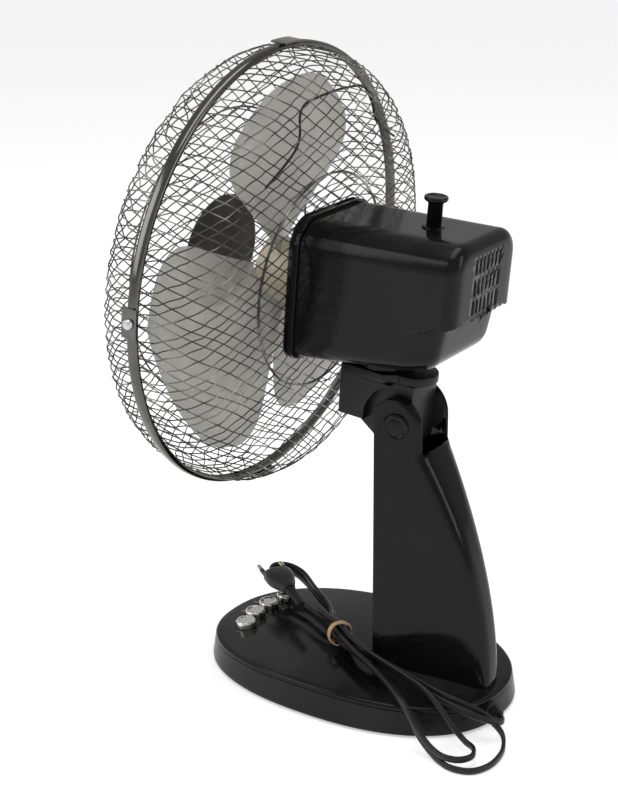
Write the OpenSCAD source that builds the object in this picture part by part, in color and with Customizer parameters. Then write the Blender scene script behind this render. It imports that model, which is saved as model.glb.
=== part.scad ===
// Desk fan, 12 inch class: oval base, tapered column, tilting and swivelling head,
// wire guards and a three-blade impeller. Millimetres, +Z up, the fan blows towards -Y.

/* [Base] */
// Length of the base from front to rear
base_len = 256; // [230:1:300]
// Width of the base
base_w = 168; // [150:1:220]
// Height of the base cover at its crown
base_h = 29; // [26:0.5:36]
// Radius of the base cover's crown
crown_r = 900; // [700:10:1400]
// Wall of the base cover and column
wall = 2.6; // [2:0.1:3.5]
// Height of the rubber feet under the base cover
foot_h = 2; // [1.5:0.1:4]

/* [Buttons] */
// Diameter of a speed button
button_d = 16; // [12:0.5:17]
// Distance between neighbouring buttons
button_pitch = 19; // [18.5:0.5:24]
// Height of a released button above the base cover
button_rise = 6.5; // [5:0.5:8]
// Travel of a button
button_travel = 4; // [2:0.5:4]

/* [Column] */
// Width of the column at its front
col_w = 60; // [54:1:66]
// Width of the flat back of the column
col_back_w = 22; // [16:1:30]
// Distance of the column's front face behind the middle of the base
col_front = 29; // [22:1:34]
// Distance of the column's back from the middle of the base at the foot
col_foot = 119; // [112:1:121]

// Rounding between the column's sides and its back
back_round = 9; // [6:1:12]

/* [Tilt] */
// Distance of the tilt bolt behind the middle of the base
pivot_y = 46; // [42:1:52]
// Height of the tilt bolt above the base cover's lower edge
pivot_h = 226; // [200:1:260]
// Diameter of the tilt bolt
bolt_d = 6; // [5:0.5:8]
// Radius of the cheek around the tilt bolt
cheek_r = 21; // [18:0.5:22]
// Upward tilt of the head in the resting pose
rest_tilt = 5; // [0:0.5:10]

/* [Head] */
// Height of the impeller axis above the tilt bolt
axis_h = 85; // [80:1:100]
// Distance of the guard ring in front of the tilt bolt
ring_y = 134; // [126:1:150]
// Width of the motor cover
cover_w = 96; // [90:1:110]
// Rear face of the motor cover behind the tilt bolt
cover_rear = 47; // [42:1:60]
// Front flange of the motor cover in front of the tilt bolt
cover_front = 89; // [84:1:92]
// Wall of the motor cover
cover_wall = 2.4; // [1.8:0.1:3]
// Distance of the swivel axis in front of the tilt bolt
swivel_y = 28; // [24:1:32]

/* [Guards] */
// Radius of the guard ring
ring_r = 170; // [150:1:200]
// Depth of the front guard in front of the ring
front_depth = 50; // [40:1:60]
// Depth of the rear guard behind the ring
rear_depth = 46; // [40:1:47]
// Thickness of the mesh skin
mesh_t = 1.2; // [1:0.1:2.4]
// Diameter of the badge on the front guard
badge_d = 90; // [70:1:100]

/* [Impeller] */
// Radius of the blade tips
blade_r = 148; // [120:1:150]
// Radius of the impeller hub
hub_r = 24; // [20:1:30]
// Number of blades
blades = 3; // [3:1:5]
// Diameter of the motor shaft
shaft_d = 8; // [6:0.5:10]

/* [Hidden] */
gap = 0.3;
base_n = 2.3;
base_draft = 3;
pivot_z = foot_h + pivot_h;
crown_z = foot_h + base_h - crown_r;
plate_t = 2;
plate_top = foot_h + plate_t;
boss_spots = [[55, -70], [-55, -70], [55, 50], [-55, 50]];
foot_spots = [[58, -45], [-58, -45], [52, 72], [-52, 72]];
screw_d = 3;
row_y = 97;
row_bow = 5;
button_len = 13;
stem_d = 6;
switch_top = foot_h + 12;
taper = (col_w / 2 - col_back_w / 2) / (col_foot - col_front);
cheek_wall = 7.41;
cheek_inner = side(pivot_y) - cheek_wall;
washer_t = 1;
lug_half = cheek_inner - washer_t - 0.4;
lug_back = 7;
lug_sweep = 28.5;
slab_back = 15;
slab_r = 18;
col_base = foot_h + 20;
back_top = pivot_z - 5;
column_spots = [[22.5, 42], [-22.5, 42], [10.5, 96], [-10.5, 96]];
neck_top = 36;
neck_front = 52.5;
neck_half = 25;
spindle_d = 10;
guard_flat = rear_depth - 2;
hub_bore = 24;
stator_r = 36;
stator_front = 66;
stator_len = 22;
bracket_r = 42;
bolt_ring = 38.5;
worm_r = 4.5;
wheel_r = 13;
wheel_x = -(worm_r + wheel_r + 0.4);
wheel_y = -12;
crank_throw = 8;
knob_y = 1;
knob_top = 170;

// ---------- frames and helpers ----------
module tilted() translate([0, pivot_y, pivot_z]) rotate([-rest_tilt, 0, 0]) children();
module axial(y) translate([0, y, axis_h]) rotate([-90, 0, 0]) children();
module upright(x, y, z) translate([x, y, z]) children();
module across(x) translate([x, 0, 0]) rotate([0, 90, 0]) children();
module rod(d, h) cylinder(d = d, h = h, $fn = 48);
module tube(od, id, h) difference() {
  cylinder(d = od, h = h, $fn = 64);
  translate([0, 0, -1]) cylinder(d = id, h = h + 2, $fn = 64);
}
// Cap screw pointing +Z: head below z = 0, shank above it
module screw(d, length, head_d, head_h) {
  translate([0, 0, -head_h]) cylinder(d = head_d, h = head_h, $fn = 32);
  cylinder(d = d, h = length, $fn = 32);
}
// A solid skinned over rings that have equal point counts
module skin(rings) {
  n = len(rings[0]);
  m = len(rings);
  points = [for (ring = rings) each ring];
  sides = [for (j = [0:m - 2]) for (i = [0:n - 1]) let (k = (i + 1) % n)
    each [[j * n + i, j * n + k, (j + 1) * n + k], [j * n + i, (j + 1) * n + k, (j + 1) * n + i]]];
  cap = [for (i = [0:n / 2 - 2]) each [[i, i + 1, n - 2 - i], [i, n - 2 - i, n - 1 - i]]];
  low = [for (t = cap) [t[2], t[1], t[0]]];
  high = [for (t = cap) [for (k = t) (m - 1) * n + k]];
  polyhedron(points, concat(low, sides, high));
}

// ---------- base ----------
function power(v, p) = sign(v) * pow(abs(v), p);
module oval(length, width) polygon([for (i = [0:5:355])
  [width / 2 * power(cos(i), 2 / base_n), length / 2 * power(sin(i), 2 / base_n)]]);
module oval_slab(inset, z, t) translate([0, 0, z])
  linear_extrude(t) oval(base_len - 2 * inset, base_w - 2 * inset);
module crown(r) translate([0, 0, crown_z]) sphere(r, $fn = 240);
module base_solid(inset, low) intersection() {
  hull() {
    oval_slab(inset, low, 1);
    oval_slab(inset + base_draft, foot_h + base_h + 2, 1);
  }
  crown(crown_r - inset);
}
function crown_at(x, y) = crown_z + sqrt(crown_r * crown_r - x * x - y * y);
function button_x(i) = (i - 1.5) * button_pitch;
function button_y(i) = row_bow * pow(abs(i - 1.5) / 1.5, 2) - row_y;
module base_cover() color("#17171a") difference() {
  union() {
    difference() {
      base_solid(0, foot_h);
      base_solid(wall, foot_h - 2);
    }
    for (p = boss_spots) upright(p[0], p[1], plate_top) rod(9, crown_at(p[0], p[1]) - plate_top - 1);
  }
  for (p = boss_spots) upright(p[0], p[1], foot_h - 1) rod(screw_d + 0.1, 14);
  for (i = [0:3]) upright(button_x(i), button_y(i), foot_h + 10) rod(button_d + 2 * gap, 40);
  for (p = column_spots) upright(p[0], p[1], foot_h + 10) rod(screw_d + 0.1, 40);
  upright(0, 70, foot_h + 10) rod(20, 40);
  at_gland() translate([0, 0, -1]) rod(12.1, 45);
}
module base_plate() color("#2b2b2d") difference() {
  translate([0, 0, foot_h]) linear_extrude(plate_t) oval(base_len - 2 * wall - 1.2, base_w - 2 * wall - 1.2);
  for (p = boss_spots) upright(p[0], p[1], 0) rod(screw_d + 0.2, 20);
}
module ballast_plate() color("#6d6a66") difference() {
  upright(-38, -60, plate_top) cube([76, 84, 6]);
  for (y = [-45, 9]) upright(0, y, 0) rod(5, 40);
}
module rubber_feet() color("#1c1c1c")
  for (p = foot_spots) upright(p[0], p[1], 0) cylinder(d = 15, h = foot_h, $fn = 48);
module base_screws() color("#a8a8a8")
  for (p = boss_spots) upright(p[0], p[1], foot_h) screw(screw_d, 11, 6, foot_h - 0.5);
module switch_body() color("#e4e1d6") difference() {
  translate([-2 * button_pitch, -row_y - 11, plate_top]) cube([4 * button_pitch, 24, switch_top - plate_top]);
  for (i = [0:3]) upright(button_x(i), button_y(i), plate_top + 0.8) rod(stem_d + 0.1, 20);
}
module button(i) color("#c9cbcc") {
  top = crown_at(button_x(i), button_y(i)) + button_rise;
  upright(button_x(i), button_y(i), 0) {
    translate([0, 0, top - button_len]) rotate_extrude($fn = 64) polygon([[0, 0], [button_d / 2, 0],
      [button_d / 2, button_len - 1], [button_d / 2 - 1, button_len], [0, button_len - 1.2]]);
    translate([0, 0, plate_top + 0.8 + button_travel + 0.3]) rod(stem_d, top - button_len - plate_top - 5);
  }
}
module button_0() button(0);
module button_1() button(1);
module button_2() button(2);
module button_3() button(3);

// ---------- column ----------
// Back line of the column, falling forward towards the tilt bolt as it rises
function sail(z) = col_foot - (col_foot - pivot_y - 12) * pow(max(0, z - foot_h - 30) / (pivot_h - 34), 1.8);
function lobe(z) = pivot_y + sqrt(max(0, cheek_r * cheek_r - pow(max(0, z - pivot_z), 2)));
function back(z) = max(sail(z), lobe(z));
function front(z) = max(col_front, 2 * pivot_y - lobe(z));
function side(y) = col_w / 2 - taper * (y - col_front);
function bend(a, b, c, t) = (1 - t) * (1 - t) * a + 2 * t * (1 - t) * b + t * t * c;
function half_ring(z, inset, y0) = let (
  yb = back(z) - inset, w = side(yb) - inset, r = min(back_round, (yb - y0) / 2),
  corner = [w, yb], start = [side(yb - r) - inset, yb - r], end = [w * 0.25, yb])
  concat([[side(y0) - inset, y0]], [for (t = [0:0.2:1]) bend(start, corner, end, t)]);
function column_ring(z, inset, y0) = let (h = half_ring(z, inset, y0), n = len(h))
  [for (p = concat([for (q = h) [-q[0], q[1]]], [for (i = [n - 1:-1:0]) h[i]])) [p[0], p[1], z]];
column_heights = concat([for (z = [col_base:14:pivot_z]) z],
  [for (a = [0:9:81]) pivot_z + 1 + (cheek_r - 1) * sin(a)]);
module column_solid() skin([for (z = column_heights) column_ring(z, 0, front(z))]);
module column_hollow() skin([for (z = [col_base - 1:14:back_top]) column_ring(z, wall, col_front - 1)]);
module column_shell() color("#141416") difference() {
  union() {
    difference() {
      column_solid();
      column_hollow();
    }
    for (p = column_spots) upright(p[0], p[1], col_base) rod(8, 24);
  }
  crown(crown_r + 0.02);
  for (p = column_spots) upright(p[0], p[1], col_base - 5) rod(screw_d + 0.1, 20);
  translate([-cheek_inner, col_front - 5, back_top - 26])
    cube([2 * cheek_inner, pivot_y - col_front + 5, 200]);
  translate([-cheek_inner, col_front - 5, back_top - 11]) cube([2 * cheek_inner, 200, 200]);
  upright(0, pivot_y, pivot_z) across(-cheek_inner) cylinder(r = lug_sweep, h = 2 * cheek_inner, $fn = 96);
  upright(0, pivot_y, pivot_z) across(-col_w) rod(bolt_d + 0.1, 2 * col_w);
  for (s = [-1, 1]) upright(s * (cheek_inner + 9), pivot_y, pivot_z) across(-6) rod(13, 12);
}
front_half = col_w / 2 - wall - 0.6;
module column_front() color("#141416") difference() {
  translate([-front_half, col_front, col_base]) cube([2 * front_half, 2.2, pivot_z - 32 - col_base]);
  crown(crown_r);
}
module column_screws() color("#a8a8a8")
  for (p = column_spots) upright(p[0], p[1], crown_at(p[0], p[1]) - wall - 0.8) screw(screw_d, 14, 6, 2);
// Where the cord leaves the base: at the rear, turned towards +X
module at_gland() translate([4, base_len / 2 - 21, foot_h + 11]) rotate([0, 90, 60]) children();
module cord_gland() color("#161616") at_gland() difference() {
  union() {
    cylinder(d = 12, h = 24.5, $fn = 32);
    translate([0, 0, 24.5]) cylinder(d1 = 9.5, d2 = 7.6, h = 9.5, $fn = 32);
  }
  translate([0, 0, 4]) rod(5.6, 40);
}

// ---------- tilt joint ----------
module tilt_bolt() color("#b5b5b5") upright(0, pivot_y, pivot_z) {
  across(-cheek_inner - 4.4) rod(bolt_d, 2 * cheek_inner + 8.8);
  across(cheek_inner + 3.2) cylinder(d = 11, h = 3, $fn = 6);
}
module tilt_nut() color("#b5b5b5") upright(0, pivot_y, pivot_z) across(-cheek_inner - 6) difference() {
  cylinder(d = 11, h = 2.8, $fn = 6);
  translate([0, 0, -1]) rod(bolt_d + 0.1, 10);
}
module friction_washers() color("#8d6b3f") for (x = [-cheek_inner + 0.1, cheek_inner - washer_t - 0.1])
  upright(0, pivot_y, pivot_z) across(x) tube(30, bolt_d + 0.2, washer_t);
module pivot_caps() color("#1b1b1d") for (s = [-1, 1])
  translate([s * side(pivot_y), pivot_y, pivot_z]) rotate([0, 0, s * atan(taper)]) rotate([0, s * 90, 0])
    rotate_extrude($fn = 64) polygon([[0, 0.05], [10, 0.05], [10, 1.2], [8.5, 2.4], [7, 1.9], [0, 2.8]]);
module neck_block() color("#1f1f20") tilted() difference() {
  union() {
    translate([-neck_half, -neck_front, -4]) cube([2 * neck_half, neck_front - 15, neck_top + 4]);
    translate([-lug_half, 0, 0]) rotate([90, 0, 90]) linear_extrude(2 * lug_half)
      polygon([[-neck_front + 12, -4], [-22, -17], [-7, -20], [5, -20], [lug_back, -18],
        [lug_back, neck_top - 6], [-30, neck_top - 6]]);
    translate([0, 0, neck_top - 7]) linear_extrude(7) hull() {
      translate([-neck_half, -neck_front]) square([2 * neck_half, neck_front - 15]);
      translate([0, slab_back - slab_r]) circle(slab_r, $fn = 96);
    }
  }
  for (s = [-1, 1]) across(s * (lug_half + 25) - 25) cylinder(r = cheek_r + 9, h = 50, $fn = 96);
  across(-50) rod(bolt_d + 0.1, 100);
  upright(0, -swivel_y, 12) rod(spindle_d, 60);
}
module swivel_spindle() color("#c0c0c0") tilted() upright(0, -swivel_y, 12) difference() {
  rod(spindle_d, 42);
  translate([0, 0, -1]) rod(6, 60);
}
module swivel_washer() color("#9a7b4b") tilted()
  upright(0, -swivel_y, neck_top) tube(26, spindle_d + 0.4, 0.6);

// ---------- motor housing ----------
cover_len = cover_rear + cover_front;
function cover_bottom(y) = 35 + (y + cover_front) * 20 / cover_len;
function cover_top(y) = 141 + (y + cover_front) * 9 / cover_len;
function cover_half(y) = cover_w / 2 - (y + cover_front) * 3 / cover_len;
// Rounded outline across the cover: flat sides, a rounder top than bottom
function cover_ring(y, inset) = let (
  w = cover_half(y) - inset, lo = cover_bottom(y) + inset, hi = cover_top(y) - inset,
  rt = max(4, 20 - inset), rb = max(4, 13 - inset)) concat(
  [for (a = [-90:15:0]) [w - rb + rb * cos(a), y, lo + rb + rb * sin(a)]],
  [for (a = [0:15:90]) [w - rt + rt * cos(a), y, hi - rt + rt * sin(a)]],
  [for (a = [90:15:180]) [-w + rt + rt * cos(a), y, hi - rt + rt * sin(a)]],
  [for (a = [180:15:270]) [-w + rb + rb * cos(a), y, lo + rb + rb * sin(a)]]);
rear_edge = [[-30, 0], [-8, 0.6], [-3, 2.6], [-0.8, 5.5], [0, 8]];
module cover_solid(inset, y0, y1) skin(concat([cover_ring(y0, inset)],
  [for (p = rear_edge) cover_ring(y1 + p[0], inset + p[1])]));
module motor_cover() color("#131315") tilted() difference() {
  union() {
    cover_solid(0, -cover_front + 9, cover_rear);
    upright(0, -swivel_y, neck_top + gap + 0.3) cylinder(r = 23, h = 16, $fn = 64);
    upright(0, knob_y, cover_top(knob_y) - 4) rod(17, 5);
  }
  difference() {
    cover_solid(cover_wall, -cover_front + 8, cover_rear - cover_wall);
    upright(0, -swivel_y, 0) cylinder(r = 23, h = cover_bottom(-swivel_y) + cover_wall, $fn = 64);
  }
  upright(0, -swivel_y, 0) rod(27, 70);
  upright(0, knob_y, 120) rod(12, 60);
  for (row = [0:2]) for (col = [-3:3])
    translate([col * 5.6 - 1.2, cover_rear - 12, 96 + row * 15]) cube([2.4, 30, 12]);
  for (x = [-30, 30]) translate([x, cover_rear + 1, 74]) rotate([90, 0, 0]) rod(screw_d + 0.2, 10);
}
module front_cover() color("#161618") tilted() difference() {
  union() {
    skin([for (p = [[0, 0.8], [1, -0.6], [8, -2.4], [8.98, -2.4]]) cover_ring(p[0] - cover_front, p[1])]);
    axial(-cover_front - 14) cylinder(d = hub_bore - 0.4, h = 15, $fn = 64);
  }
  skin([for (y = [-cover_front + 3, -cover_front + 12]) cover_ring(y, 3)]);
  axial(-cover_front - 20) rod(16, 40);
}
module cover_screws() color("#a8a8a8") tilted()
  for (x = [-30, 30]) translate([x, cover_rear, 74]) rotate([90, 0, 0])
    screw(screw_d, cover_rear + swivel_y - 2, 6, 2.2);

// ---------- motor ----------
module stator_core() color("#7e7f82") tilted() axial(-stator_front) difference() {
  cylinder(r = stator_r, h = stator_len, $fn = 96);
  translate([0, 0, -1]) cylinder(r = 21, h = stator_len + 2, $fn = 96);
}
module windings() color("#a65b2a") tilted() for (y = [-stator_front - 8, -stator_front + stator_len])
  axial(y) tube(64, 46, 8);
module bracket(y, t) axial(y) difference() {
  cylinder(r = bracket_r, h = t, $fn = 96);
  translate([0, 0, -1]) rod(14, t + 2);
  for (a = [45:90:315]) rotate([0, 0, a]) translate([bolt_ring, 0, -1]) rod(3.1, t + 2);
  for (a = [0:90:270]) rotate([0, 0, a]) translate([27, 0, -1]) rod(12, t + 2);
}
module front_bracket() color("#9b9c9f") tilted() bracket(-cover_front + 10, 3);
module rear_bracket() color("#9b9c9f") tilted() difference() {
  union() {
    difference() {
      bracket(-stator_front + stator_len + 14, 4);
      translate([-80, -60, 0]) cube([160, 120, 50]);
    }
    upright(0, -swivel_y, neck_top + 0.9) cylinder(r = 13, h = 14.4, $fn = 64);
  }
  upright(0, -swivel_y, 0) rod(spindle_d + 0.1, 100);
}
module shaft_bushes() color("#b08d57") tilted() for (y = [-cover_front + 9, -stator_front + stator_len + 13])
  axial(y) tube(13.9, shaft_d + 0.1, 6);
module motor_bolts() color("#a8a8a8") tilted() for (a = [45:90:315])
  axial(-cover_front + 10) rotate([0, 0, a]) translate([bolt_ring, 0, 0]) screw(3, 54, 6, 2);
module run_capacitor() color("#3c4a5e") tilted() translate([21.8, 7, 108]) cube([20, 26, 14]);
module gearbox_case() color("#8f9093") tilted() difference() {
  translate([wheel_x - wheel_r - 4, -swivel_y + 2, 62]) cube([wheel_r * 2 + 8, swivel_y + 1, 40]);
  translate([wheel_x - wheel_r - 1, -40, 66]) cube([wheel_r * 2 + 22, 60, 32]);
  upright(wheel_x, wheel_y, 0) rod(5.2, 200);
}
module worm_wheel() color("#d9d2b8") tilted() upright(wheel_x, wheel_y, axis_h - 4) difference() {
  union() {
    rod(2 * wheel_r, 8);
    translate([0, 0, -12]) rod(8, 12);
  }
  translate([0, 0, -20]) rod(5.2, 60);
}
module crank_gear() color("#c9c6bd") tilted() upright(wheel_x, wheel_y, 58) {
  rod(5, 46);
  rod(24, 3.4);
  translate([crank_throw, 0, -3.6]) rod(4, 4);
}
module crank_link() color("#b0b0b0") tilted() upright(wheel_x, wheel_y, 55) difference() {
  hull() for (x = [-crank_throw, crank_throw]) upright(x, 0, 0) cylinder(d = 7, h = 2, $fn = 32);
  upright(crank_throw, 0, -1) rod(4.1, 4);
}
module osc_knob() color("#121213") tilted() upright(0, knob_y, 0) {
  translate([0, 0, knob_top - 3.4]) rotate_extrude($fn = 64)
    polygon([[0, 0], [8.75, 0], [8.75, 2.6], [7.8, 3.4], [6, 2.6], [0, 2.2]]);
  translate([0, 0, 134]) rod(11, knob_top - 137.3);
  translate([0, 0, 116]) rod(6, 18.1);
}
module rotor_core() color("#85868a") tilted() axial(-stator_front) tube(41, shaft_d, stator_len);
module motor_shaft() color("#c4c6c8") tilted() {
  axial(-ring_y - 6) rod(shaft_d, ring_y + 6 - 19);
  axial(-19) rod(2 * worm_r - 0.2, 13);
}

// ---------- impeller ----------
function blade_span(s) = 90 + 10 * s - 42 * pow(s, 9);
blade_axial = 20;
function blade_point(s, u, off) = let (
  r = hub_r - 1 + (blade_r - hub_r + 1) * s, a = 27 + (u - 0.5) * blade_span(s))
  [r * cos(a), r * sin(a), (u - 0.5) * blade_axial + off];
module blade() {
  ns = 8;
  nu = 8;
  skin([for (j = [0:ns]) let (s = j / ns) concat(
    [for (i = [0:nu]) blade_point(s, i / nu, 0.8)], [for (i = [nu:-1:0]) blade_point(s, i / nu, -0.8)])]);
}
module impeller() color("#a5a29b") tilted() axial(-ring_y + 6) difference() {
  union() {
    for (k = [0:blades - 1]) rotate([0, 0, k * 360 / blades]) blade();
    translate([0, 0, -8]) cylinder(r = hub_r, h = 32, $fn = 64);
  }
  translate([0, 0, -5]) cylinder(r = hub_r - 2, h = 40, $fn = 64);
  translate([0, 0, -40]) rod(shaft_d + 0.1, 80);
}
module impeller_nut() color("#b9b5ab") tilted() axial(-ring_y - 10) difference() {
  cylinder(d1 = 20, d2 = 24, h = 8, $fn = 48);
  translate([0, 0, 2]) rod(shaft_d + 0.1, 20);
}

// ---------- guards ----------
// Radius and depth along each mesh dome, from the ring inward
rear_line = [[167, 3], [165, 18], [157, 31], [142, 40], [115, rear_depth - 2], [84, rear_depth],
  [80, guard_flat], [20, guard_flat]];
front_line = [[167, 3], [166, 18], [159, 33], [141, front_depth - 7], [112, front_depth - 2],
  [44, front_depth], [0, front_depth]];
function scaled(line, side) = [for (p = line) [p[0] * ring_r / 170, side * p[1]]];
module dome(line, side) rotate_extrude($fn = 96) polygon(concat(scaled(line, side),
  [for (i = [len(line) - 1:-1:0]) [line[i][0] * ring_r / 170, side * (line[i][1] - mesh_t)]]));
module rear_guard() color("#3a3a3c") tilted() axial(-ring_y) difference() {
  dome(rear_line, 1);
  translate([0, 0, -20]) rod(hub_bore, 200);
}
module front_guard() color("#3a3a3c") tilted() axial(-ring_y) dome(front_line, -1);
module guard_ring() color("#2d2d30") tilted() axial(-ring_y - 4) difference() {
  cylinder(r = ring_r + 1.5, h = 8, $fn = 128);
  translate([0, 0, -1]) cylinder(r = ring_r * 167 / 170 + 0.05, h = 10, $fn = 128);
}
module ring_clips() color("#39393c") tilted() axial(-ring_y) for (a = [-90, 0, 90, 180]) rotate([0, 0, a])
  translate([ring_r + 1.6, -11, -6.5]) cube([1.4, 22, 13]);
module clip_screws() color("#8f8f90") tilted() axial(-ring_y) for (s = [-1, 1])
  translate([s * (ring_r + 4.6), 0, 0]) rotate([0, 90, 0]) translate([0, 0, -1.5]) rod(8, 3);
module badge() color("#4a4744") tilted() axial(-ring_y - front_depth + mesh_t + 0.1) rotate_extrude($fn = 96)
  polygon([[0, 0], [badge_d / 2, 0], [badge_d / 2, 1.4], [badge_d / 2 - 2, 2.4], [0, 3]]);
module guard_nut() color("#232324") tilted()
  axial(-ring_y + guard_flat - mesh_t - 6.1) tube(52, hub_bore - 0.2, 6);

// ---------- mains cord ----------
cord_w = 5.4;
cord_t = 3.4;
// Tail from the gland round the foot of the column to the bundle
tail_route = [[21, 136.5, 13], [25, 141, 13.5], [31, 143, 15], [38, 140, 18], [44, 131, 21], [48, 121, 25],
  [52, 111, 29], [57, 101, 31]];
// Bundle: x, y, height of the middle, half width, half height
hank_route = [[-42, -108, 41, 3, 3], [-34, -96, 41, 19, 6], [-16, -64, 39, 20, 6.5], [4, -32, 39.5, 14, 7.5],
  [22, -6, 40.5, 9.5, 7], [42, 20, 39.5, 9.5, 7.5], [56, 50, 38.5, 14, 7.5],
  [72, 82, 35, 19, 7], [75, 95, 32, 19, 6.8], [77, 106, 21, 20, 7],
  [68, 130, 8, 33, 6.5], [66, 148, 5, 24, 4], [66, 157, 4.5, 5, 3.5]];
function heading(line, i) = let (a = line[max(0, i - 1)], b = line[min(len(line) - 1, i + 1)],
  d = [b[0] - a[0], b[1] - a[1]]) d / norm(d);
function oval_ring(line, i, w, h) = let (p = line[i], d = heading(line, i))
  [for (a = [0:45:315]) [p[0] + d[1] * w * cos(a), p[1] - d[0] * w * cos(a), p[2] + h * sin(a)]];
module cord_tail() color("#111111") skin([for (i = [0:len(tail_route) - 1])
  oval_ring(tail_route, i, cord_w / 2, cord_t / 2)]);
module cord_hank() color("#111111") skin([for (i = [0:len(hank_route) - 1])
  oval_ring(hank_route, i, hank_route[i][3], hank_route[i][4])]);
module cord_band() color("#c49a63") translate([22, -6, 40.5]) rotate([90, 0, -36]) difference() {
  linear_extrude(9, center = true) offset(1.4) resize([21, 16]) circle(10, $fn = 32);
  linear_extrude(12, center = true) offset(0.2) resize([21, 16]) circle(10, $fn = 32);
}
module at_plug() translate([-13, -84, 51.2]) rotate([90, 0, -36]) children();
module plug_body() color("#151515") at_plug() hull() {
  translate([-5, 0, -4]) cylinder(d = 14, h = 21, $fn = 24);
  translate([5, 0, -4]) cylinder(d = 14, h = 21, $fn = 24);
  translate([0, 0, -19]) cylinder(d = 8, h = 1, $fn = 24);
}
module plug_pins() color("#b0a890") at_plug() for (x = [-9.5, 9.5]) translate([x, 0, 17]) rod(4, 19);

base_cover();
base_plate();
ballast_plate();
rubber_feet();
base_screws();
switch_body();
button_0();
button_1();
button_2();
button_3();
column_shell();
column_front();
column_screws();
cord_gland();
tilt_bolt();
tilt_nut();
friction_washers();
pivot_caps();
neck_block();
swivel_spindle();
swivel_washer();
crank_link();
motor_cover();
front_cover();
cover_screws();
stator_core();
windings();
front_bracket();
rear_bracket();
shaft_bushes();
motor_bolts();
run_capacitor();
gearbox_case();
worm_wheel();
crank_gear();
osc_knob();
rotor_core();
motor_shaft();
impeller();
impeller_nut();
rear_guard();
front_guard();
guard_ring();
ring_clips();
clip_screws();
badge();
guard_nut();
cord_tail();
cord_hank();
cord_band();
plug_body();
plug_pins();
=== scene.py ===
import bmesh
import bpy
import math
import numpy as np
from mathutils import Matrix, Vector


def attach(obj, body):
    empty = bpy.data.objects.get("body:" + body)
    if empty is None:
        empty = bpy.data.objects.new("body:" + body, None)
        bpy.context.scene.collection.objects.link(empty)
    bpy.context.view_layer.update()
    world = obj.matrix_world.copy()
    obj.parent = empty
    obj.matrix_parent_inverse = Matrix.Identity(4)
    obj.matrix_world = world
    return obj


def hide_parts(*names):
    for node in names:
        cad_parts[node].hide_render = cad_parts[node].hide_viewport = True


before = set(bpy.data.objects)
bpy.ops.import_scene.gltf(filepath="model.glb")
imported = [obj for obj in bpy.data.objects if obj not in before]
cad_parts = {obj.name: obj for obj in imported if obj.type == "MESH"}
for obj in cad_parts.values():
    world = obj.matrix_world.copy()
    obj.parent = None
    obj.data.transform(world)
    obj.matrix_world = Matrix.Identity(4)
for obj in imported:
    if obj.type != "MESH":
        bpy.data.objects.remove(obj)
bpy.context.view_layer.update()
MM = 0.001


def rad(a):
    return math.radians(a)


# ---------- places on the fan, in millimetres of the row frame ----------
C5, S5 = math.cos(rad(5)), math.sin(rad(5))


def head(p):
    """Points given as x, distance behind the tilt bolt and height above it, turned with the resting tilt."""
    p = np.asarray(p, float).reshape(-1, 3)
    return np.stack([p[:, 0], 46 + C5 * p[:, 1] + S5 * p[:, 2], 228 - S5 * p[:, 1] + C5 * p[:, 2]], 1)


def disc(r, a, y):
    """Points at radius r and angle a (degrees, from +X upwards) round the impeller axis."""
    r, a, y = np.broadcast_arrays(np.asarray(r, float), np.radians(a), np.asarray(y, float))
    return np.stack([(r * np.cos(a)).ravel(), y.ravel(), (85 + r * np.sin(a)).ravel()], 1)


def crown(x, y):
    return 31 - 900 + math.sqrt(900 * 900 - x * x - y * y)


# ---------- mesh building ----------
def piece(name, verts, faces, mat, body, stands_for=(), slot=None, smooth=True, crease=35, at=None):
    verts = np.asarray(verts, float).reshape(-1, 3)
    if at is not None:
        verts = at(verts)
    mesh = bpy.data.meshes.new(name)
    mesh.from_pydata((verts * MM).tolist(), [], [list(f) for f in faces])
    mesh.validate()
    work = bmesh.new()
    work.from_mesh(mesh)
    bmesh.ops.recalc_face_normals(work, faces=work.faces)
    work.to_mesh(mesh)
    work.free()
    if smooth:
        mesh.shade_smooth()
        mesh.set_sharp_from_angle(angle=rad(crease))
    for m in mat if isinstance(mat, (list, tuple)) else [mat]:
        mesh.materials.append(m)
    obj = bpy.data.objects.new(name, mesh)
    bpy.context.scene.collection.objects.link(obj)
    if body:
        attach(obj, body)
    if stands_for:
        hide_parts(*stands_for)
    return obj


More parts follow.
